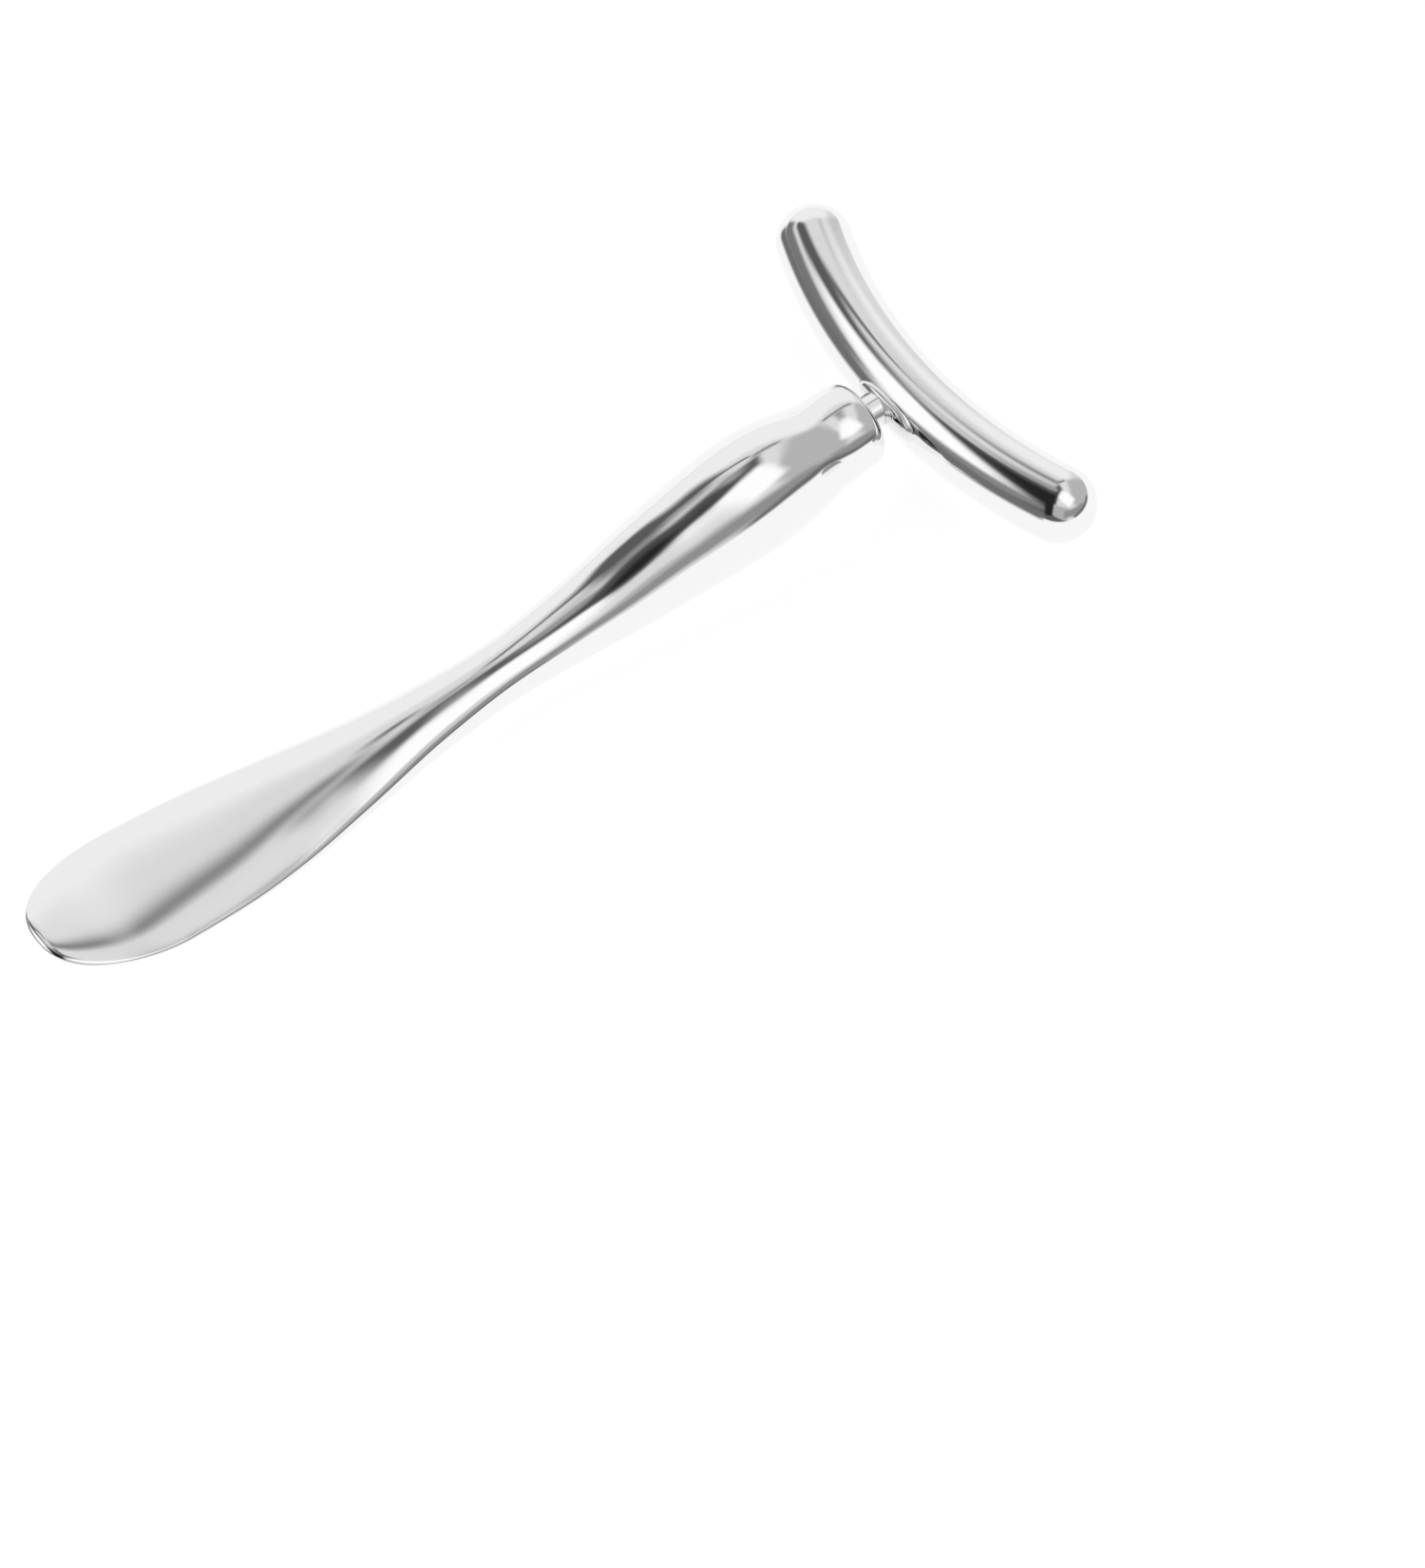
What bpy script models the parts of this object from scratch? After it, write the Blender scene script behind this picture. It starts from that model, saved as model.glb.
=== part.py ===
"""T-bar hand wand: a polished spatula handle with a curved, round-ended crossbar on a short neck.

Metres, +Z up. +X runs from the blade's tip to the crossbar, and the wand lies level on its belly, whose
narrow flat is on Z = 0. The origin is on that plane, under the middle of the wand's length. Distances along
the handle are counted from the blade's tip.
"""

import math

import bmesh
import bpy
from mathutils import Vector

MM = 0.001

# Clearance kept between neighbouring pieces
GAP = 0.3 * MM

# Crossbar: a round bar bent to an arc that opens away from the handle
BAR_RADIUS = 3.63 * MM
BAR_BEND_RADIUS = 50.0 * MM
BAR_HALF_ARC = 18.7 * MM
BAR_MIDDLE = 96.4 * MM

# Neck: one level axis through the shoulder, the collar, the stud and the crossbar's middle
NECK_HEIGHT = 6.9 * MM
COLLAR_RADIUS = 1.7 * MM
STUD_RADIUS = 0.9 * MM
STUD_IN_HANDLE = 7.0 * MM
STUD_IN_BAR = 3.4 * MM
STUD_CHAMFER = 0.2 * MM
SOCKET_RADIUS = STUD_RADIUS + GAP

# Handle
HANDLE_LENGTH = 91.5 * MM
BLADE_TIP_LENGTH = 12.0 * MM
BLADE_HALF_WIDTH = 6.9 * MM
TIP_FULLNESS = 0.41
TIP_ROUNDING = 1.0 * MM
SHOULDER_ROUNDING = 1.2 * MM
BELLY_FLAT_DEPTH = 0.12 * MM

# All stations below are in millimetres
# (distance from the tip, half width), behind the rounded tip of the blade
HALF_WIDTHS = (
    (12.0, 6.90),
    (18.0, 6.72),
    (25.0, 6.00),
    (33.0, 4.75),
    (42.0, 3.46),
    (50.5, 2.88),
    (57.0, 3.28),
    (67.0, 4.48),
    (78.0, 5.44),
    (83.0, 5.10),
    (87.0, 4.30),
    (89.5, 4.28),
    (91.5, 4.20),
)
# (distance from the tip, half thickness)
HALF_THICKNESSES = (
    (0.0, 0.51),
    (12.0, 0.95),
    (20.0, 1.22),
    (30.0, 1.76),
    (40.0, 2.30),
    (50.0, 2.60),
    (60.0, 3.45),
    (70.0, 5.08),
    (79.0, 6.10),
    (83.5, 5.50),
    (87.0, 4.35),
    (89.3, 4.22),
    (91.5, 3.85),
)
# (distance from the tip, height of the underside): a straight belly, with the blade and the head end lifted
UNDERSIDES = (
    (0.0, 5.75),
    (4.0, 4.80),
    (10.0, 3.28),
    (18.0, 2.02),
    (27.0, 0.80),
    (39.0, 0.0),
    (58.0, 0.0),
    (77.0, 0.0),
    (83.5, 0.85),
    (87.0, 2.20),
    (91.5, 2.95),
)
# (distance from the tip, exponent of the section): a flattened oval blade, then an ellipse
SECTION_EXPONENTS = (
    (0.0, 2.6),
    (15.0, 2.4),
    (40.0, 2.15),
    (60.0, 2.3),
    (76.0, 2.0),
    (91.5, 2.0),
)

SIDES = 32
TIP_RINGS = 12
TIP_CROWDING = 2.2
SHOULDER_RINGS = 4
BODY_RINGS = 38
BAR_RINGS = 32
CAP_RINGS = 6
CUTTER_SIDES = 24


def total_length():
    """The blade's tip to the foremost point of the crossbar's domed ends."""
    rise = BAR_BEND_RADIUS * (1 - math.cos(BAR_HALF_ARC / BAR_BEND_RADIUS))
    return BAR_MIDDLE + rise + BAR_RADIUS


TIP_X = -total_length() / 2
SHOULDER_X = TIP_X + HANDLE_LENGTH
BAR_X = TIP_X + BAR_MIDDLE


def smooth(stations, distance):
    """A value between stations, on a cubic that never overshoots them."""
    position = distance / MM
    index = 0
    while index < len(stations) - 2 and position > stations[index + 1][0]:
        index += 1
    (x0, y0), (x1, y1) = stations[index], stations[index + 1]
    span = x1 - x0
    t = min(max((position - x0) / span, 0.0), 1.0)
    slope0 = level_slope(stations, index)
    slope1 = level_slope(stations, index + 1)
    return (
        y0 * (1 + 2 * t) * (1 - t) ** 2
        + slope0 * span * t * (1 - t) ** 2
        + y1 * t * t * (3 - 2 * t)
        + slope1 * span * t * t * (t - 1)
    )


def level_slope(stations, index):
    """The slope at a station: level at a high or low point, else the harmonic mean on both sides."""
    slopes = []
    for left, right in ((index - 1, index), (index, index + 1)):
        if left >= 0 and right < len(stations):
            (xa, ya), (xb, yb) = stations[left], stations[right]
            slopes.append((yb - ya) / (xb - xa))
    if len(slopes) == 1:
        return slopes[0]
    before, after = slopes
    if before * after <= 0:
        return 0.0
    return 2 * before * after / (before + after)


def material(name, colour, roughness):
    made = bpy.data.materials.new(name)
    made.use_nodes = True
    shader = made.node_tree.nodes["Principled BSDF"]
    shader.inputs["Base Color"].default_value = (*colour, 1.0)
    shader.inputs["Metallic"].default_value = 1.0
    shader.inputs["Roughness"].default_value = roughness
    return made


def add_solid(name, rings, ends, finish):
    """One closed solid skinned over rings of points, each end closed by a point or by a flat face."""
    mesh = bmesh.new()
    loops = [[mesh.verts.new(point) for point in ring] for ring in rings]
    for lower, upper in zip(loops, loops[1:]):
        for i in range(len(lower)):
            j = (i + 1) % len(lower)
            mesh.faces.new((lower[i], lower[j], upper[j], upper[i]))
    for loop, end in ((loops[0], ends[0]), (loops[-1], ends[1])):
        if end is None:
            mesh.faces.new(loop)
            continue
        apex = mesh.verts.new(end)
        for i in range(len(loop)):
            mesh.faces.new((loop[i], loop[(i + 1) % len(loop)], apex))
    bmesh.ops.recalc_face_normals(mesh, faces=mesh.faces)
    data = bpy.data.meshes.new(name)
    mesh.to_mesh(data)
    mesh.free()
    data.shade_smooth()
    data.set_sharp_from_angle(angle=math.radians(35))
    made = bpy.data.objects.new(name, data)
    bpy.context.scene.collection.objects.link(made)
    if finish is not None:
        data.materials.append(finish)
    return made


def circle(centre, radius, sides):
    """A ring around the X direction."""
    ring = []
    for step in range(sides):
        angle = 2 * math.pi * step / sides
        spoke = Vector((0.0, math.cos(angle), math.sin(angle)))
        ring.append(Vector(centre) + spoke * radius)
    return ring


def rod(name, start, end, radius, finish=None, chamfer=0.0, sides=CUTTER_SIDES):
    """A round rod along the neck's axis, with its ends chamfered if asked."""
    stations = [(start, radius), (end, radius)]
    if chamfer:
        stations = [
            (start, radius - chamfer),
            (start + chamfer, radius),
            (end - chamfer, radius),
            (end, radius - chamfer),
        ]
    rings = [circle((x, 0.0, NECK_HEIGHT), size, sides) for x, size in stations]
    return add_solid(name, rings, (None, None), finish)


def subtract(target, cutter):
    cutter.hide_render = True
    cutter.display_type = "WIRE"
    cut = target.modifiers.new("cut_" + cutter.name, "BOOLEAN")
    cut.operation = "DIFFERENCE"
    cut.solver = "EXACT"
    cut.object = cutter


def handle_distances():
    """Where the handle's rings lie: close together on the rounded tip and on the rounded shoulder."""
    for step in range(1, TIP_RINGS + 1):
        yield BLADE_TIP_LENGTH * (step / TIP_RINGS) ** TIP_CROWDING
    body_end = HANDLE_LENGTH - SHOULDER_ROUNDING
    for step in range(1, BODY_RINGS + 1):
        yield BLADE_TIP_LENGTH + (body_end - BLADE_TIP_LENGTH) * step / BODY_RINGS
    for step in range(1, SHOULDER_RINGS + 1):
        yield body_end + SHOULDER_ROUNDING * math.sin(math.pi / 2 * step / SHOULDER_RINGS)


def handle_section(distance):
    """Half width, half thickness, centre height and exponent of the handle's section."""
    half_width = smooth(HALF_WIDTHS, distance) * MM
    if distance < BLADE_TIP_LENGTH:
        share = 1 - distance / BLADE_TIP_LENGTH
        half_width = BLADE_HALF_WIDTH * (1 - share * share) ** TIP_FULLNESS
    half_thickness = smooth(HALF_THICKNESSES, distance) * MM
    height = smooth(UNDERSIDES, distance) * MM + half_thickness - BELLY_FLAT_DEPTH
    if distance < TIP_ROUNDING:
        share = 1 - distance / TIP_ROUNDING
        half_thickness *= math.sqrt(1 - share * share)
    into_shoulder = distance - (HANDLE_LENGTH - SHOULDER_ROUNDING)
    if into_shoulder > 0:
        inset = SHOULDER_ROUNDING - math.sqrt(max(SHOULDER_ROUNDING**2 - into_shoulder**2, 0.0))
        half_width -= inset
        half_thickness -= inset
    return half_width, half_thickness, height, smooth(SECTION_EXPONENTS, distance)


def oval(distance):
    """The handle's ring at a distance from the tip."""
    half_width, half_thickness, height, exponent = handle_section(distance)
    ring = []
    for step in range(SIDES):
        angle = 2 * math.pi * step / SIDES
        across = math.copysign(abs(math.cos(angle)) ** (2 / exponent), math.cos(angle))
        above = math.copysign(abs(math.sin(angle)) ** (2 / exponent), math.sin(angle))
        ring.append(Vector((TIP_X + distance, half_width * across, height + half_thickness * above)))
    return ring


def make_handle(finish):
    """The casting, with the belly's flat cut along Z = 0 and a blind socket in the shoulder."""
    rings = [oval(distance) for distance in handle_distances()]
    tip = Vector((TIP_X, 0.0, handle_section(0.0)[2]))
    handle = add_solid("handle", rings, (tip, None), finish)
    below = 5 * MM
    floor = [
        [Vector((x, y, z)) for y, z in ((-below, -below), (below, -below), (below, 0.0), (-below, 0.0))]
        for x in (TIP_X, SHOULDER_X)
    ]
    subtract(handle, add_solid("belly_cutter", floor, (None, None), None))
    socket_end = SHOULDER_X - STUD_IN_HANDLE - GAP
    subtract(handle, rod("handle_socket_cutter", socket_end, SHOULDER_X + 2 * MM, SOCKET_RADIUS))


def bar_rings(radius):
    """Rings along the bent bar with hemispherical ends, and the two end points."""
    sweep = BAR_HALF_ARC / BAR_BEND_RADIUS
    stops = []
    for step in range(1, CAP_RINGS):
        stops.append((-sweep, math.pi / 2 * (1 - step / CAP_RINGS), -1))
    for step in range(BAR_RINGS + 1):
        stops.append((sweep * (2 * step / BAR_RINGS - 1), 0.0, 0))
    for step in range(1, CAP_RINGS):
        stops.append((sweep, math.pi / 2 * step / CAP_RINGS, 1))
    rings = []
    for turn, dome, side in stops:
        centre = bar_point(turn)
        along = bar_direction(turn)
        inward = Vector((along.y, -along.x, 0.0))
        size = radius * math.cos(dome)
        middle = centre + along * (side * radius * math.sin(dome))
        ring = []
        for step in range(SIDES):
            angle = 2 * math.pi * step / SIDES
            ring.append(middle + (inward * math.cos(angle) + Vector((0, 0, 1)) * math.sin(angle)) * size)
        rings.append(ring)
    first = bar_point(-sweep) - bar_direction(-sweep) * radius
    last = bar_point(sweep) + bar_direction(sweep) * radius
    return rings, (first, last)


def bar_point(turn):
    """A point of the bar's centre line, at an angle along its bend."""
    away = BAR_BEND_RADIUS * (1 - math.cos(turn))
    return Vector((BAR_X + away, BAR_BEND_RADIUS * math.sin(turn), NECK_HEIGHT))


def bar_direction(turn):
    return Vector((math.sin(turn), math.cos(turn), 0.0))


def make_crossbar(finish):
    """The curved bar, with a blind socket in the middle of its handle side."""
    rings, ends = bar_rings(BAR_RADIUS)
    crossbar = add_solid("crossbar", rings, ends, finish)
    socket_start = BAR_X - BAR_RADIUS - 2 * MM
    socket_end = BAR_X - BAR_RADIUS + STUD_IN_BAR + GAP
    subtract(crossbar, rod("bar_socket_cutter", socket_start, socket_end, SOCKET_RADIUS))


def make_neck_collar(finish):
    """The short sleeve around the stud, with one end coped to the crossbar's round side."""
    collar = rod("neck_collar", SHOULDER_X + GAP, BAR_X, COLLAR_RADIUS, finish, sides=SIDES)
    rings, ends = bar_rings(BAR_RADIUS + GAP)
    subtract(collar, add_solid("cope_cutter", rings, ends, None))
    bore_start = SHOULDER_X - GAP
    subtract(collar, rod("collar_bore_cutter", bore_start, BAR_X + COLLAR_RADIUS, SOCKET_RADIUS))


def make_neck_stud(finish):
    """The stud through the collar, its ends in the two blind sockets."""
    start = SHOULDER_X - STUD_IN_HANDLE
    end = BAR_X - BAR_RADIUS + STUD_IN_BAR
    rod("neck_stud", start, end, STUD_RADIUS, finish, chamfer=STUD_CHAMFER)


def clear_scene():
    for item in list(bpy.data.objects):
        bpy.data.objects.remove(item, do_unlink=True)


def main():
    clear_scene()
    make_handle(material("polished_casting", (0.83, 0.83, 0.84), 0.06))
    make_neck_collar(material("polished_collar", (0.80, 0.80, 0.81), 0.08))
    make_neck_stud(material("steel_stud", (0.55, 0.55, 0.56), 0.30))
    make_crossbar(material("polished_bar", (0.84, 0.84, 0.85), 0.05))


main()
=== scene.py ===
"""Looks of the T-bar hand wand: its polished pieces, fine and smooth around the CAD frame, in a soft studio.

Metres, +Z up, in the frame's own axes. Distances along the handle are counted from the blade's tip.
"""

import math
from collections import namedtuple

import bpy
from mathutils import Matrix, Vector


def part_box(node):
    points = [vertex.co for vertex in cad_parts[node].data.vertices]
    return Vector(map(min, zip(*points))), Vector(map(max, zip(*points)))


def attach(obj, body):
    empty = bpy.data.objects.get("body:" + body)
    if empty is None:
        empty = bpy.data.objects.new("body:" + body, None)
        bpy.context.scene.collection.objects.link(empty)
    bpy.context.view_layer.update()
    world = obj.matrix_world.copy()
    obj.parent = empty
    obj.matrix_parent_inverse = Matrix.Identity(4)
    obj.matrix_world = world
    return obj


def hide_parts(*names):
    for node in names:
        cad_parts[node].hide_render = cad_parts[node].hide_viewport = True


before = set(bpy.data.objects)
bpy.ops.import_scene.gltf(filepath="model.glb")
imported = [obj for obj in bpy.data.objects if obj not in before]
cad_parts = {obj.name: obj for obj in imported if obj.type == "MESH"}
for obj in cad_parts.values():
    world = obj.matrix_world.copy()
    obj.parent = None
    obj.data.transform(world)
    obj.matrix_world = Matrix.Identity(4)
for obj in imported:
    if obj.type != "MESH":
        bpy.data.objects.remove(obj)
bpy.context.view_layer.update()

MM = 0.001
UPWARD = Vector((0.0, 0.0, 1.0))

# Places and sizes taken from the frame
HANDLE_LOW, HANDLE_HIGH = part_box("handle")
BAR_LOW, BAR_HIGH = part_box("crossbar")
STUD_LOW, STUD_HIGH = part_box("neck_stud")
COLLAR_LOW, COLLAR_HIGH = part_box("neck_collar")
TIP_X = HANDLE_LOW.x
SHOULDER_X = HANDLE_HIGH.x
HANDLE_LENGTH = SHOULDER_X - TIP_X
BAR_RADIUS = (BAR_HIGH.z - BAR_LOW.z) / 2
BAR_X = BAR_LOW.x + BAR_RADIUS
NECK_HEIGHT = (BAR_HIGH.z + BAR_LOW.z) / 2
COLLAR_RADIUS = (COLLAR_HIGH.y - COLLAR_LOW.y) / 2
STUD_RADIUS = (STUD_HIGH.y - STUD_LOW.y) / 2

# Fits between the finished pieces
PARTING_GAP = 0.06 * MM
BAR_JOINT_GAP = 0.02 * MM
SOCKET_RADIUS = STUD_RADIUS + 0.05 * MM
SOCKET_REACH = 0.3 * MM
EDGE_BREAK = 0.14 * MM

# Crossbar
BAR_BEND_RADIUS = 50.0 * MM
BAR_HALF_ARC = 18.7 * MM
DRILL_START = 1.0 * MM

# Handle
BLADE_TIP_LENGTH = 12.0 * MM
BLADE_HALF_WIDTH = 6.9 * MM
TIP_FULLNESS = 0.41
TIP_ROUNDING = 1.0 * MM
SHOULDER_ROUNDING = 1.2 * MM
BELLY_FLAT_DEPTH = 0.12 * MM

# Stud
THREAD_PITCH = 0.35 * MM
THREAD_DEPTH = 0.13 * MM
THREAD_RUN_OUT = 0.6 * MM
STUD_CHAMFER = 0.2 * MM

# Profile of the handle: (distance from the tip, value), in millimetres except for the exponents
HALF_WIDTHS = (
    (12.0, 6.90),
    (18.0, 6.72),
    (25.0, 6.00),
    (33.0, 4.75),
    (42.0, 3.46),
    (50.5, 2.88),
    (57.0, 3.28),
    (67.0, 4.48),
    (78.0, 5.44),
    (83.0, 5.10),
    (87.0, 4.30),
    (89.5, 4.28),
    (91.5, 4.20),
)
HALF_THICKNESSES = (
    (0.0, 0.51),
    (12.0, 0.95),
    (20.0, 1.22),
    (30.0, 1.76),
    (40.0, 2.30),
    (50.0, 2.60),
    (60.0, 3.45),
    (70.0, 5.08),
    (79.0, 6.10),
    (83.5, 5.50),
    (87.0, 4.35),
    (89.3, 4.22),
    (91.5, 3.85),
)
UNDERSIDES = (
    (0.0, 5.75),
    (4.0, 4.80),
    (10.0, 3.28),
    (18.0, 2.02),
    (27.0, 0.80),
    (39.0, 0.0),
    (58.0, 0.0),
    (77.0, 0.0),
    (83.5, 0.85),
    (87.0, 2.20),
    (91.5, 2.95),
)
SECTION_EXPONENTS = (
    (0.0, 2.6),
    (15.0, 2.4),
    (40.0, 2.15),
    (60.0, 2.3),
    (76.0, 2.0),
    (91.5, 2.0),
)

# How far to each side the profile is averaged, and in how many steps
EASING_REACH = 2.5 * MM
EASING_STEPS = 6

# Fineness of the meshes. Rings crowd towards the blade's tip by the power TIP_CROWDING.
HANDLE_SIDES = 128
TIP_RINGS = 60
TIP_CROWDING = 2.2
BODY_RINGS = 300
SHOULDER_RINGS = 14
FACE_RINGS = 6
BAR_SIDES = 112
BAR_RINGS = 170
CAP_RINGS = 26
NECK_SIDES = 96
EDGE_RINGS = 6
SLEEVE_RINGS = 12
STUD_SIDES = 48
STUD_RINGS = 300

# Where two faces meet at more than this angle, in degrees, the edge stays sharp
SHARP_ANGLE = 30
THREAD_SHARP_ANGLE = 60

# Table top
TABLE_HALF_SIZE = 3.0
TABLE_GLOW = 0.60

# Camera, in degrees: the azimuth of its right-hand side, its height above the horizon and its roll. It looks
# at CAMERA_AIM.
CAMERA_AZIMUTH = -36.4
CAMERA_ELEVATION = 58.4
CAMERA_ROLL = -0.6
CAMERA_DISTANCE = 700 * MM
CAMERA_LENS = 196.6
SENSOR_WIDTH = 36.0
CAMERA_AIM = Vector((7.8, -19.6, -0.4)) * MM


def slope_at(stations, index):
    """The slope at a station: level at a high or low point, else the harmonic mean on both sides."""
    slopes = []
    for left, right in ((index - 1, index), (index, index + 1)):
        if left >= 0 and right < len(stations):
            (xa, ya), (xb, yb) = stations[left], stations[right]
            slopes.append((yb - ya) / (xb - xa))
    if len(slopes) == 1:
        return slopes[0]
    before, after = slopes
    if before * after <= 0:
        return 0.0
    return 2 * before * after / (before + after)


def smooth(stations, distance):
    """A value between stations, on a cubic that never overshoots them."""
    position = distance / MM
    index = 0
    while index < len(stations) - 2 and position > stations[index + 1][0]:
        index += 1
    (x0, y0), (x1, y1) = stations[index], stations[index + 1]
    span = x1 - x0
    t = min(max((position - x0) / span, 0.0), 1.0)
    slope0 = slope_at(stations, index)
    slope1 = slope_at(stations, index + 1)
    return (
        y0 * (1 + 2 * t) * (1 - t) ** 2
        + slope0 * span * t * (1 - t) ** 2
        + y1 * t * t * (3 - 2 * t)
        + slope1 * span * t * t * (t - 1)
    )


def eased(stations, distance):
    """The same value averaged over a few millimetres, so that reflections run on without a kink."""
    reach = min(EASING_REACH, distance, (HANDLE_LENGTH - distance) / 2)
    total = 0.0
    weights = 0.0
    for step in range(-EASING_STEPS, EASING_STEPS + 1):
        weight = 1 + math.cos(math.pi * step / (EASING_STEPS + 1))
        total += weight * smooth(stations, distance + reach * step / EASING_STEPS)
        weights += weight
    return total / weights


def mesh_object(name, points, faces):
    """A mesh of those points and faces, as an object in the scene."""
    data = bpy.data.meshes.new(name)
    data.from_pydata(points, [], faces)
    data.update()
    made = bpy.data.objects.new(name, data)
    bpy.context.scene.collection.objects.link(made)
    return made


def bands(rings, pairs):
    """The faces between each pair of rings."""
    count = len(rings[0])
    faces = []
    for lower, upper in pairs:
        for i in range(count):
            j = (i + 1) % count
            faces.append((lower * count + i, lower * count + j, upper * count + j, upper * count + i))
    return faces


def capped_skin(name, rings, ends):
    """A piece skinned over rings of points, its ends closed by a point each."""
    points = [point for ring in rings for point in ring]
    count = len(rings[0])
    faces = bands(rings, [(lower, lower + 1) for lower in range(len(rings) - 1)])
    for end, ring in ((0, 0), (1, len(rings) - 1)):
        points.append(ends[end])
        apex = len(points) - 1
        for i in range(count):
            pair = (ring * count + i, ring * count + (i + 1) % count)
            faces.append((pair[1], pair[0], apex) if end == 0 else (pair[0], pair[1], apex))
    return mesh_object(name, points, faces)


def ring_sleeve(name, rings):
    """A closed sleeve: the last ring joins the first one again."""
    points = [point for ring in rings for point in ring]
    pairs = [(lower, (lower + 1) % len(rings)) for lower in range(len(rings))]
    return mesh_object(name, points, bands(rings, pairs))


def face_outward(piece):
    """Turns every face outward, whichever way the rings ran."""
    volume = 0.0
    data = piece.data
    data.calc_loop_triangles()
    for triangle in data.loop_triangles:
        a, b, c = (data.vertices[i].co for i in triangle.vertices)
        volume += a.dot(b.cross(c))
    if volume < 0:
        data.flip_normals()


def finish_surface(piece, look, sharp_angle=SHARP_ANGLE):
    """Gives a piece its material, and smooth shading between its sharp edges."""
    face_outward(piece)
    piece.data.materials.clear()
    piece.data.materials.append(look)
    piece.data.shade_smooth()
    piece.data.set_sharp_from_angle(angle=math.radians(sharp_angle))


def circle(x, radius, sides):
    """A ring around the neck's axis."""
    ring = []
    for step in range(sides):
        angle = 2 * math.pi * step / sides
        ring.append(Vector((x, radius * math.cos(angle), NECK_HEIGHT + radius * math.sin(angle))))
    return ring


def handle_section(distance):
    """Half width, half thickness, centre height and exponent of the handle's section."""
    half_width = eased(HALF_WIDTHS, distance) * MM
    if distance < BLADE_TIP_LENGTH:
        share = 1 - distance / BLADE_TIP_LENGTH
        half_width = BLADE_HALF_WIDTH * (1 - share * share) ** TIP_FULLNESS
    half_thickness = eased(HALF_THICKNESSES, distance) * MM
    height = eased(UNDERSIDES, distance) * MM + half_thickness - BELLY_FLAT_DEPTH
    if distance < TIP_ROUNDING:
        share = 1 - distance / TIP_ROUNDING
        half_thickness *= math.sqrt(1 - share * share)
    into_shoulder = distance - (HANDLE_LENGTH - SHOULDER_ROUNDING)
    if into_shoulder > 0:
        inset = SHOULDER_ROUNDING - math.sqrt(max(SHOULDER_ROUNDING**2 - into_shoulder**2, 0.0))
        half_width -= inset
        half_thickness -= inset
    return half_width, half_thickness, height, smooth(SECTION_EXPONENTS, distance)


def handle_ring(distance):
    """The section as a ring of points, flat where it would reach below the table top."""
    half_width, half_thickness, height, exponent = handle_section(distance)
    ring = []
    for step in range(HANDLE_SIDES):
        angle = 2 * math.pi * step / HANDLE_SIDES
        across = math.copysign(abs(math.cos(angle)) ** (2 / exponent), math.cos(angle))
        above = math.copysign(abs(math.sin(angle)) ** (2 / exponent), math.sin(angle))
        z = max(height + half_thickness * above, 0.0)
        ring.append(Vector((TIP_X + distance, half_width * across, z)))
    return ring


def handle_distances():
    """Where the handle's rings lie: crowded at the tip, even along the body, round at the shoulder."""
    for step in range(1, TIP_RINGS + 1):
        yield BLADE_TIP_LENGTH * (step / TIP_RINGS) ** TIP_CROWDING
    body_end = HANDLE_LENGTH - SHOULDER_ROUNDING
    for step in range(1, BODY_RINGS + 1):
        yield BLADE_TIP_LENGTH + (body_end - BLADE_TIP_LENGTH) * step / BODY_RINGS
    for step in range(1, SHOULDER_RINGS + 1):
        yield body_end + SHOULDER_ROUNDING * math.sin(math.pi / 2 * step / SHOULDER_RINGS)


def make_handle(look):
    """The casting, with its flat belly, its rounded shoulder and the socket for the stud."""
    rings = [handle_ring(distance) for distance in handle_distances()]
    face = rings[-1]
    mouth = circle(SHOULDER_X, SOCKET_RADIUS + EDGE_BREAK, HANDLE_SIDES)
    for step in range(1, FACE_RINGS + 1):
        rings.append([outer.lerp(inner, step / FACE_RINGS) for outer, inner in zip(face, mouth)])
    socket_end = STUD_LOW.x - SOCKET_REACH
    rings.append(circle(SHOULDER_X - EDGE_BREAK, SOCKET_RADIUS, HANDLE_SIDES))
    rings.append(circle(socket_end, SOCKET_RADIUS, HANDLE_SIDES))
    tip = Vector((TIP_X, 0.0, handle_section(0.0)[2]))
    bottom = Vector((socket_end - SOCKET_RADIUS / 2, 0.0, NECK_HEIGHT))
    piece = capped_skin("polished_handle", rings, (tip, bottom))
    finish_surface(piece, look)
    return piece


def bar_point(turn):
    """A point on the bar's axis, by its angle from the middle."""
    away = BAR_BEND_RADIUS * (1 - math.cos(turn))
    return Vector((BAR_X + away, BAR_BEND_RADIUS * math.sin(turn), NECK_HEIGHT))


def bar_direction(turn):
    """The way the bar's axis runs there."""
    return Vector((math.sin(turn), math.cos(turn), 0.0))


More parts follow.
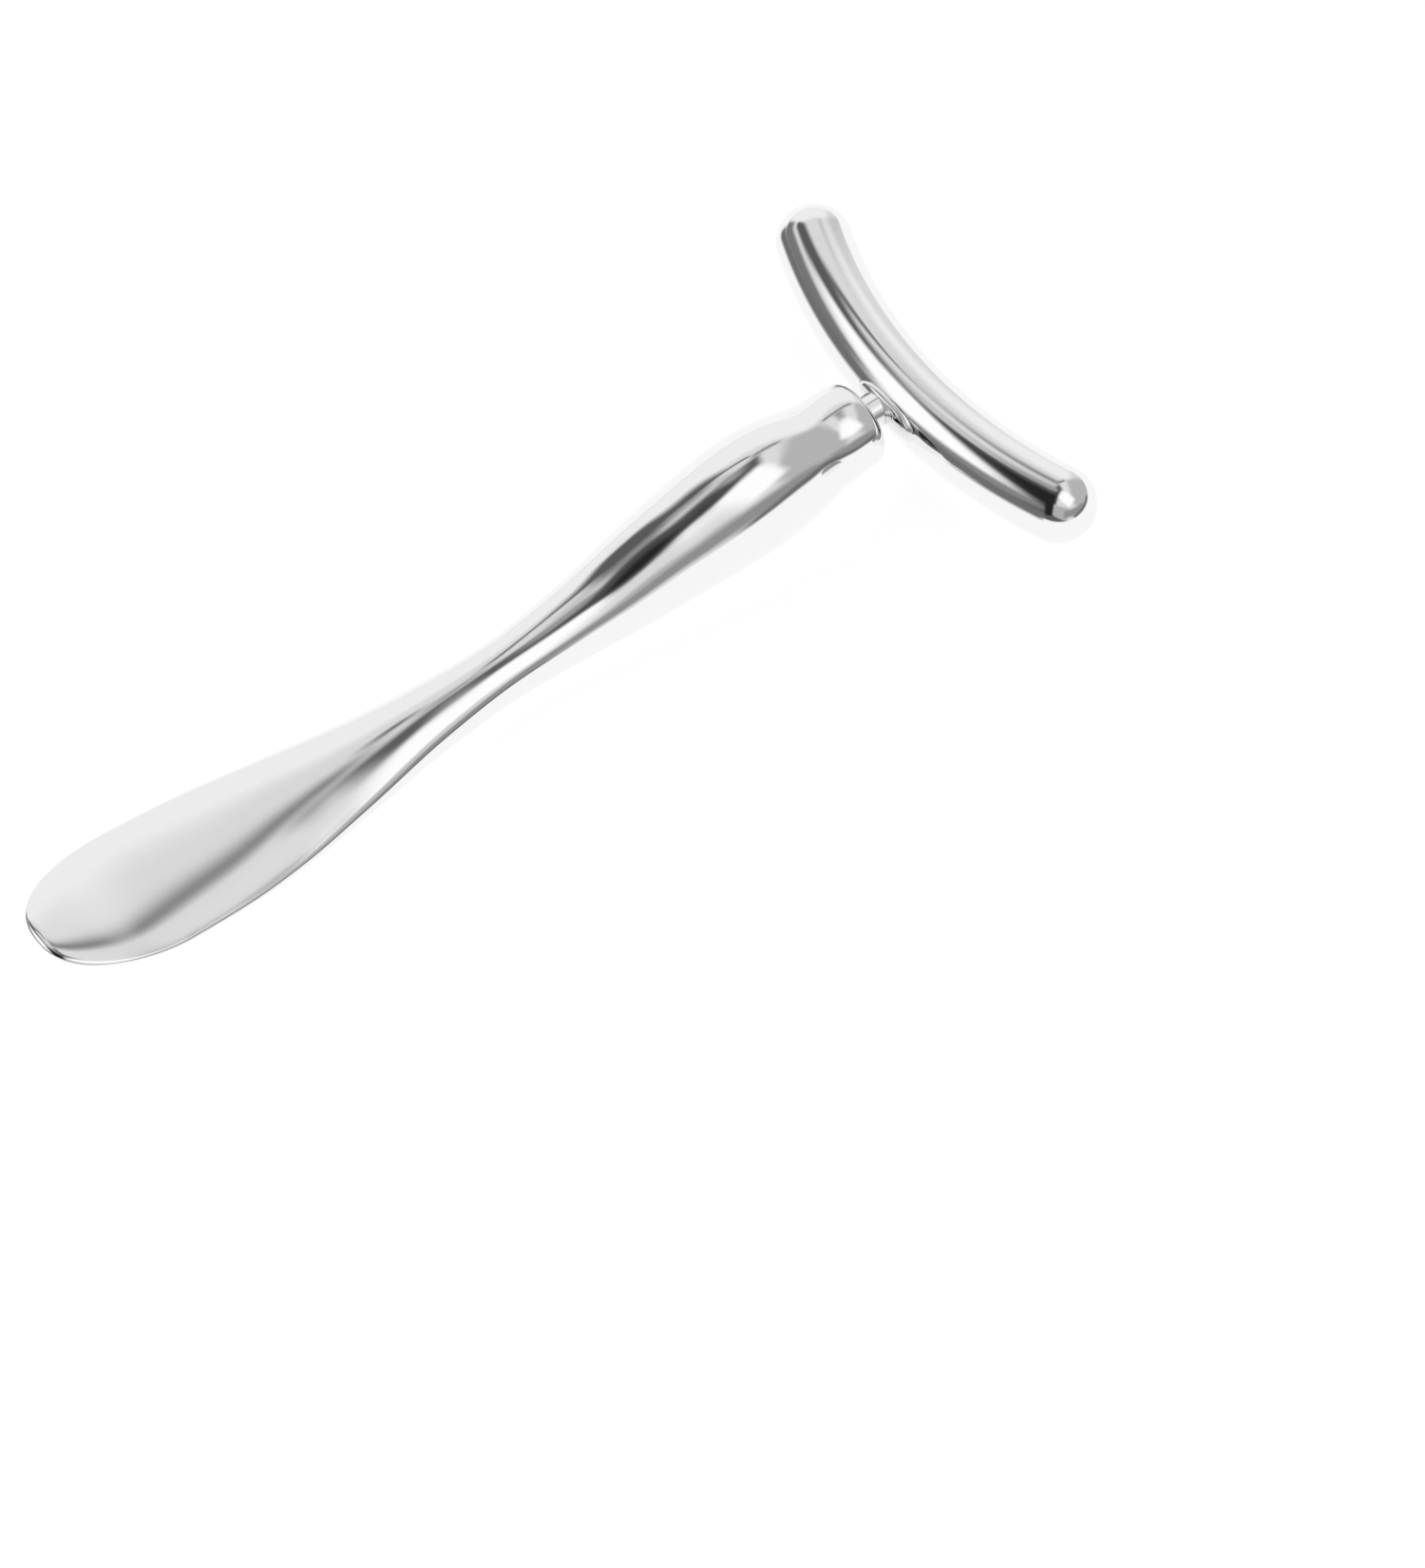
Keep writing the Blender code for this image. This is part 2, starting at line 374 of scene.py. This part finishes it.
def make_crossbar(look):
    """The curved bar with domed ends, and the blind socket in the middle of its handle side."""
    sweep = BAR_HALF_ARC / BAR_BEND_RADIUS
    stops = []
    for step in range(1, CAP_RINGS):
        stops.append((-sweep, math.pi / 2 * (1 - step / CAP_RINGS), -1))
    for step in range(BAR_RINGS + 1):
        stops.append((sweep * (2 * step / BAR_RINGS - 1), 0.0, 0))
    for step in range(1, CAP_RINGS):
        stops.append((sweep, math.pi / 2 * step / CAP_RINGS, 1))
    rings = []
    for turn, dome, side in stops:
        along = bar_direction(turn)
        inward = Vector((along.y, -along.x, 0.0))
        size = BAR_RADIUS * math.cos(dome)
        middle = bar_point(turn) + along * (side * BAR_RADIUS * math.sin(dome))
        ring = []
        for step in range(BAR_SIDES):
            angle = 2 * math.pi * step / BAR_SIDES
            ring.append(middle + (inward * math.cos(angle) + UPWARD * math.sin(angle)) * size)
        rings.append(ring)
    ends = (
        bar_point(-sweep) - bar_direction(-sweep) * BAR_RADIUS,
        bar_point(sweep) + bar_direction(sweep) * BAR_RADIUS,
    )
    piece = capped_skin("polished_crossbar", rings, ends)
    face_outward(piece)
    cut_socket(piece)
    finish_surface(piece, look)
    return piece


def cut_socket(piece):
    """A blind hole for the stud, cut straight into the bar."""
    start = BAR_X - BAR_RADIUS - DRILL_START
    end = STUD_HIGH.x + SOCKET_REACH
    rings = [circle(start, SOCKET_RADIUS, NECK_SIDES), circle(end, SOCKET_RADIUS, NECK_SIDES)]
    ends = (Vector((start, 0.0, NECK_HEIGHT)), Vector((end + SOCKET_RADIUS / 2, 0.0, NECK_HEIGHT)))
    drill = capped_skin("drill", rings, ends)
    face_outward(drill)
    cut = piece.modifiers.new("socket", "BOOLEAN")
    cut.operation = "DIFFERENCE"
    cut.solver = "EXACT"
    cut.object = drill
    bpy.context.view_layer.update()
    cut_piece = piece.evaluated_get(bpy.context.evaluated_depsgraph_get())
    result = bpy.data.meshes.new_from_object(cut_piece)
    piece.modifiers.clear()
    piece.data = result
    bpy.data.objects.remove(drill, do_unlink=True)


def make_collar(look):
    """The short sleeve between shoulder and bar: one end has a broken edge, the other is coped to the bar."""
    start = SHOULDER_X + PARTING_GAP
    rings = [
        circle(start, SOCKET_RADIUS, NECK_SIDES),
        circle(start, COLLAR_RADIUS - EDGE_BREAK, NECK_SIDES),
    ]
    for step in range(1, EDGE_RINGS + 1):
        angle = math.pi / 2 * step / EDGE_RINGS
        x = start + EDGE_BREAK * (1 - math.cos(angle))
        rings.append(circle(x, COLLAR_RADIUS - EDGE_BREAK * (1 - math.sin(angle)), NECK_SIDES))
    first = rings[-1]
    last = coped(COLLAR_RADIUS)
    for step in range(1, SLEEVE_RINGS + 1):
        rings.append([near.lerp(far, step / SLEEVE_RINGS) for near, far in zip(first, last)])
    rings.append(coped(SOCKET_RADIUS))
    piece = ring_sleeve("neck_sleeve", rings)
    finish_surface(piece, look)
    return piece


def coped(radius):
    """A ring of that radius laid on the bar's round side."""
    ring = []
    reach = BAR_RADIUS + BAR_JOINT_GAP
    for point in circle(0.0, radius, NECK_SIDES):
        rise = point.z - NECK_HEIGHT
        outer = BAR_BEND_RADIUS + math.sqrt(reach * reach - rise * rise)
        x = BAR_X + BAR_BEND_RADIUS - math.sqrt(outer * outer - point.y * point.y)
        ring.append(Vector((x, point.y, point.z)))
    return ring


def make_stud(look):
    """The stud, with a fine thread rolled along it and its ends run out to a chamfer."""
    length = STUD_HIGH.x - STUD_LOW.x
    rings = []
    for step in range(STUD_RINGS + 1):
        x = STUD_LOW.x + length * step / STUD_RINGS
        from_end = min(x - STUD_LOW.x, STUD_HIGH.x - x)
        ring = []
        for side in range(STUD_SIDES):
            angle = 2 * math.pi * side / STUD_SIDES
            wave = 0.5 + 0.5 * math.cos(2 * math.pi * x / THREAD_PITCH - angle)
            cut = THREAD_DEPTH * wave * min(1.0, from_end / THREAD_RUN_OUT)
            chamfer = max(0.0, STUD_CHAMFER - from_end)
            radius = STUD_RADIUS - cut - chamfer
            ring.append(Vector((x, radius * math.cos(angle), NECK_HEIGHT + radius * math.sin(angle))))
        rings.append(ring)
    ends = (Vector((STUD_LOW.x, 0.0, NECK_HEIGHT)), Vector((STUD_HIGH.x, 0.0, NECK_HEIGHT)))
    piece = capped_skin("threaded_stud", rings, ends)
    finish_surface(piece, look, THREAD_SHARP_ANGLE)
    return piece


class Tree:
    """A small helper that adds nodes and links to a node tree."""

    def __init__(self, tree):
        self.tree = tree

    def add(self, kind, values=None, **settings):
        node = self.tree.nodes.new(kind)
        for name, value in settings.items():
            setattr(node, name, value)
        for name, value in (values or {}).items():
            socket = node.inputs[name]
            if isinstance(value, bpy.types.NodeSocket):
                self.plug(value, socket)
            else:
                socket.default_value = value
        return node

    def plug(self, output, socket):
        self.tree.links.new(output, socket)

    def math(self, operation, first, second=0.0):
        return self.add("ShaderNodeMath", {0: first, 1: second}, operation=operation).outputs[0]

    def dot(self, vector, constant):
        node = self.add("ShaderNodeVectorMath", {0: vector, 1: tuple(constant)}, operation="DOT_PRODUCT")
        return node.outputs["Value"]

    def fall(self, value, full, none):
        """1 where the value is below full, 0 where it is above none, with a soft edge between."""
        values = {"Value": value, "From Min": full, "From Max": none, "To Min": 1.0, "To Max": 0.0}
        return self.add("ShaderNodeMapRange", values, interpolation_type="SMOOTHSTEP").outputs["Result"]

    def blend(self, share, first, second, label=""):
        """first where share is 0, second where it is 1, as numbers."""
        return self.add("ShaderNodeMix", {0: share, 2: first, 3: second}, label=label).outputs[0]


def polished_metal(name, colour, roughness, ripple):
    """Mirror polish on plated metal: faint buffing lines, some dull patches and a casting's slight ripple."""
    look = bpy.data.materials.new(name)
    look.use_nodes = True
    tree = Tree(look.node_tree)
    shader = look.node_tree.nodes["Principled BSDF"]
    shader.inputs["Base Color"].default_value = (*colour, 1.0)
    shader.inputs["Metallic"].default_value = 1.0
    place = tree.add("ShaderNodeTexCoord").outputs["Object"]
    lengthwise = tree.add("ShaderNodeMapping", {"Vector": place, "Scale": (0.12, 1.0, 1.0)}).outputs[0]
    lines = tree.add("ShaderNodeTexNoise", {"Vector": lengthwise, "Scale": 2600.0, "Detail": 3.0})
    patches = tree.add("ShaderNodeTexNoise", {"Vector": place, "Scale": 90.0, "Detail": 4.0})
    spread = {"From Min": 0.35, "From Max": 0.75, "To Min": roughness, "To Max": roughness * 1.6}
    dull = tree.add("ShaderNodeMapRange", {"Value": patches.outputs[0], **spread}).outputs["Result"]
    grain = tree.math("MULTIPLY", lines.outputs[0], 0.03)
    tree.plug(tree.math("ADD", dull, grain), shader.inputs["Roughness"])
    waves = tree.add("ShaderNodeTexNoise", {"Vector": place, "Scale": 160.0, "Detail": 1.0})
    swell = {"Strength": ripple, "Distance": 0.05 * MM, "Height": waves.outputs[0]}
    ripples = tree.add("ShaderNodeBump", swell)
    buffing = tree.add(
        "ShaderNodeBump",
        {"Strength": 0.03, "Distance": 0.01 * MM, "Height": lines.outputs[0], "Normal": ripples.outputs[0]},
    )
    tree.plug(buffing.outputs[0], shader.inputs["Normal"])
    return look


def turned_steel(name):
    """Plain turned steel with fine rings around its axis."""
    look = bpy.data.materials.new(name)
    look.use_nodes = True
    tree = Tree(look.node_tree)
    shader = look.node_tree.nodes["Principled BSDF"]
    shader.inputs["Base Color"].default_value = (0.55, 0.55, 0.56, 1.0)
    shader.inputs["Metallic"].default_value = 1.0
    place = tree.add("ShaderNodeTexCoord").outputs["Object"]
    around = tree.add("ShaderNodeMapping", {"Vector": place, "Scale": (1.0, 0.05, 0.05)}).outputs[0]
    rings = tree.add("ShaderNodeTexNoise", {"Vector": around, "Scale": 9000.0, "Detail": 3.0})
    rough = tree.add("ShaderNodeMapRange", {"Value": rings.outputs[0], "To Min": 0.22, "To Max": 0.42})
    tree.plug(rough.outputs["Result"], shader.inputs["Roughness"])
    bump = tree.add("ShaderNodeBump", {"Strength": 0.2, "Distance": 0.01 * MM, "Height": rings.outputs[0]})
    tree.plug(bump.outputs[0], shader.inputs["Normal"])
    return look


# The studio: soft-edged panels around the table, which the camera sees only as the metal mirrors them. Each
# is given by the direction of its middle (azimuth from +X towards +Y, and elevation), its half width and half
# height, its turn, the softness of its edge, all in degrees, and its brightness. Later ones stand in front of
# earlier ones.
Panel = namedtuple("Panel", "name azimuth elevation half_width half_height turn softness brightness")
WALLS = 0.75
PANELS = (
    Panel("right_wall", -23, 20, 36, 38, 0, 7, 0.49),
    Panel("far_left_wall", 122, 5, 26, 20, 0, 6, 0.20),
    Panel("left_wall", 174, 17, 16, 25, 0, 3, 0.26),
    Panel("near_left_wall", 226, 28, 33, 22, -12, 5, 0.46),
    Panel("near_left_horizon", 220, -1, 42, 18, -25, 4, 0.12),
    Panel("near_wall", 282, 18, 32, 11, -14, 6, 0.30),
    Panel("near_right_gap", 306, 5, 32, 6, 0, 4, 0.16),
    Panel("far_wall", 65, 25, 33, 24, 8, 6, 0.92),
    Panel("ceiling", 85, 90, 20, 15, 20, 5, 0.12),
    Panel("ceiling_left", 125, 68, 9, 17, 0, 5, 0.34),
    Panel("ceiling_edge", 90, 58, 11, 1.5, -28, 2, 0.15),
    Panel("ceiling_edge_right", 44, 58, 12, 1.5, 45, 4, 0.26),
    Panel("ceiling_blob", 110, 46, 9, 12, 5, 5, 0.11),
    Panel("ceiling_lamp", 115, 67, 7, 4, 0, 3, 0.60),
    Panel("light_ceiling", -8, 70, 17, 7, 0, 5, 0.78),
    Panel("near_softbox", -75, 63, 15, 22, 8, 6, 1.08),
    Panel("side_softbox", 150, 40, 19, 13, -40, 6, 1.08),
    Panel("dark_gap", 178, 65, 16, 19, 40, 4, 0.08),
    Panel("dark_tail", 193, 46, 31, 12, -70, 4, 0.02),
)

# The white table below them: its edge's height above the horizon and softness, in degrees, and its brightness
TABLE_EDGE = 2
TABLE_SOFTNESS = 3
TABLE_BRIGHTNESS = 1.01

# A dark gap across the table's far left side, as the panels are given
TABLE_GAP = Panel("table_gap", 150, -3, 42, 13, 12, 7, 0.17)


# A panel is only seen by directions that face it by more than this cosine
LEAST_DEPTH = 0.05


def sky_direction(azimuth, elevation):
    """The unit vector that points that way, from angles in degrees."""
    a, e = math.radians(azimuth), math.radians(elevation)
    return Vector((math.cos(a) * math.cos(e), math.sin(a) * math.cos(e), math.sin(e)))


def panel_share(tree, direction, panel):
    """How far a direction falls on a panel: 1 inside it, 0 outside."""
    facing = sky_direction(panel.azimuth, panel.elevation)
    side = sky_direction(panel.azimuth + 90, 0)
    rise = facing.cross(side)
    angle = math.radians(panel.turn)
    across = side * math.cos(angle) + rise * math.sin(angle)
    along = rise * math.cos(angle) - side * math.sin(angle)
    front = tree.dot(direction, facing)
    depth = tree.math("MAXIMUM", front, LEAST_DEPTH)
    share = tree.math("GREATER_THAN", front, LEAST_DEPTH)
    for axis, half in ((across, panel.half_width), (along, panel.half_height)):
        offset = tree.math("ABSOLUTE", tree.math("DIVIDE", tree.dot(direction, axis), depth))
        full = math.tan(math.radians(max(half - panel.softness, 0)))
        none = math.tan(math.radians(half + panel.softness))
        share = tree.math("MULTIPLY", share, tree.fall(offset, full, none))
    return share


def make_studio():
    """The world around the wand: the camera sees plain white, and the metal mirrors panels and table."""
    world = bpy.data.worlds.new("studio")
    bpy.context.scene.world = world
    world.use_nodes = True
    world.node_tree.nodes.clear()
    tree = Tree(world.node_tree)
    direction = tree.add("ShaderNodeTexCoord").outputs["Generated"]
    level = WALLS
    for panel in PANELS:
        level = tree.blend(panel_share(tree, direction, panel), level, panel.brightness, panel.name)
    height = tree.dot(direction, UPWARD)
    lower, upper = (math.sin(math.radians(TABLE_EDGE + side * TABLE_SOFTNESS)) for side in (-1, 1))
    level = tree.blend(tree.fall(height, lower, upper), level, TABLE_BRIGHTNESS, "table")
    gap_share = panel_share(tree, direction, TABLE_GAP)
    level = tree.blend(gap_share, level, TABLE_GAP.brightness, TABLE_GAP.name)
    seen = tree.add("ShaderNodeLightPath").outputs["Is Camera Ray"]
    level = tree.blend(seen, level, 1.0)
    background = tree.add("ShaderNodeBackground", {"Color": (1.0, 1.0, 1.0, 1.0), "Strength": level})
    tree.add("ShaderNodeOutputWorld", {"Surface": background.outputs[0]})


def make_floor():
    """A pale table top that runs out to white. The metal mirrors the world's table instead of this one."""
    half = TABLE_HALF_SIZE
    corners = [(-half, -half, 0.0), (half, -half, 0.0), (half, half, 0.0), (-half, half, 0.0)]
    floor = mesh_object("table_top", corners, [(0, 1, 2, 3)])
    floor.visible_glossy = False
    look = bpy.data.materials.new("pale_table")
    look.use_nodes = True
    shader = look.node_tree.nodes["Principled BSDF"]
    shader.inputs["Base Color"].default_value = (0.8, 0.8, 0.8, 1.0)
    shader.inputs["Roughness"].default_value = 0.9
    shader.inputs["Specular IOR Level"].default_value = 0.0
    shader.inputs["Emission Color"].default_value = (1.0, 1.0, 1.0, 1.0)
    shader.inputs["Emission Strength"].default_value = TABLE_GLOW
    floor.data.materials.append(look)


def make_camera():
    """The camera, turned and placed as in the photo."""
    data = bpy.data.cameras.new("camera")
    data.lens = CAMERA_LENS
    data.sensor_fit = "HORIZONTAL"
    data.sensor_width = SENSOR_WIDTH
    data.clip_start = 0.01
    camera = bpy.data.objects.new("camera", data)
    bpy.context.scene.collection.objects.link(camera)
    right = sky_direction(CAMERA_AZIMUTH, 0)
    back = sky_direction(CAMERA_AZIMUTH - 90, CAMERA_ELEVATION)
    up = back.cross(right)
    turn = Matrix.Rotation(math.radians(CAMERA_ROLL), 3, back)
    axes = Matrix((turn @ right, turn @ up, back)).transposed()
    camera.matrix_world = Matrix.Translation(CAMERA_AIM + back * CAMERA_DISTANCE) @ axes.to_4x4()
    bpy.context.scene.camera = camera


def main():
    make_camera()
    make_studio()
    make_floor()
    handle_look = polished_metal("handle_polish", (0.91, 0.91, 0.915), 0.035, 0.05)
    collar_look = polished_metal("collar_polish", (0.90, 0.90, 0.905), 0.05, 0.03)
    stud_look = turned_steel("stud_steel")
    bar_look = polished_metal("bar_polish", (0.91, 0.91, 0.915), 0.03, 0.04)
    pieces = (
        (make_handle(handle_look), "handle", "handle_metal"),
        (make_collar(collar_look), "neck_collar", "collar_metal"),
        (make_stud(stud_look), "neck_stud", "stud_steel"),
        (make_crossbar(bar_look), "crossbar", "bar_metal"),
    )
    for piece, node, slot in pieces:
        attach(piece, "root")
        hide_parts(node)
    bpy.context.scene.view_settings.view_transform = "Standard"


main()
